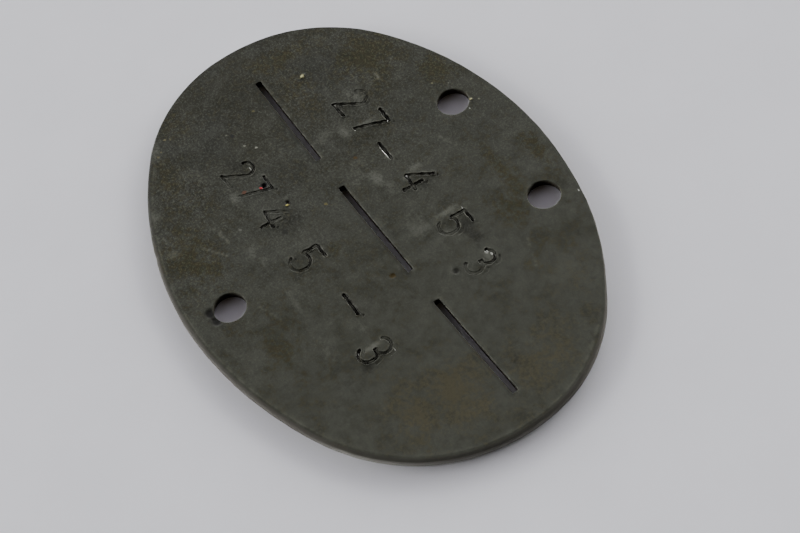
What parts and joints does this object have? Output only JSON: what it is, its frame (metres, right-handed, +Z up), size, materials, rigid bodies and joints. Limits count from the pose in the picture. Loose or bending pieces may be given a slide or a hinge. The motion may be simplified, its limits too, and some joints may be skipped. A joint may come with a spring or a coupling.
{
  "type": "identification dog tag",
  "caption": "Flat oval zinc identification tag with cord holes, a tie hole, a row of snap slits across the middle and struck plain numerals on each half.",
  "frame": {"origin": "on the lower face, under the middle of the oval", "axes": "+X along the row of slits, +Y towards the half with two cord holes, +Z up out of the struck face"},
  "size_m": [0.07, 0.05, 0.001],
  "materials": {
    "zinc": "dull grey-green zinc patina, fine grained, with olive and brown stains"
  },
  "bodies": {
    "root": {"tag": "zinc"}
  },
  "joints": []
}
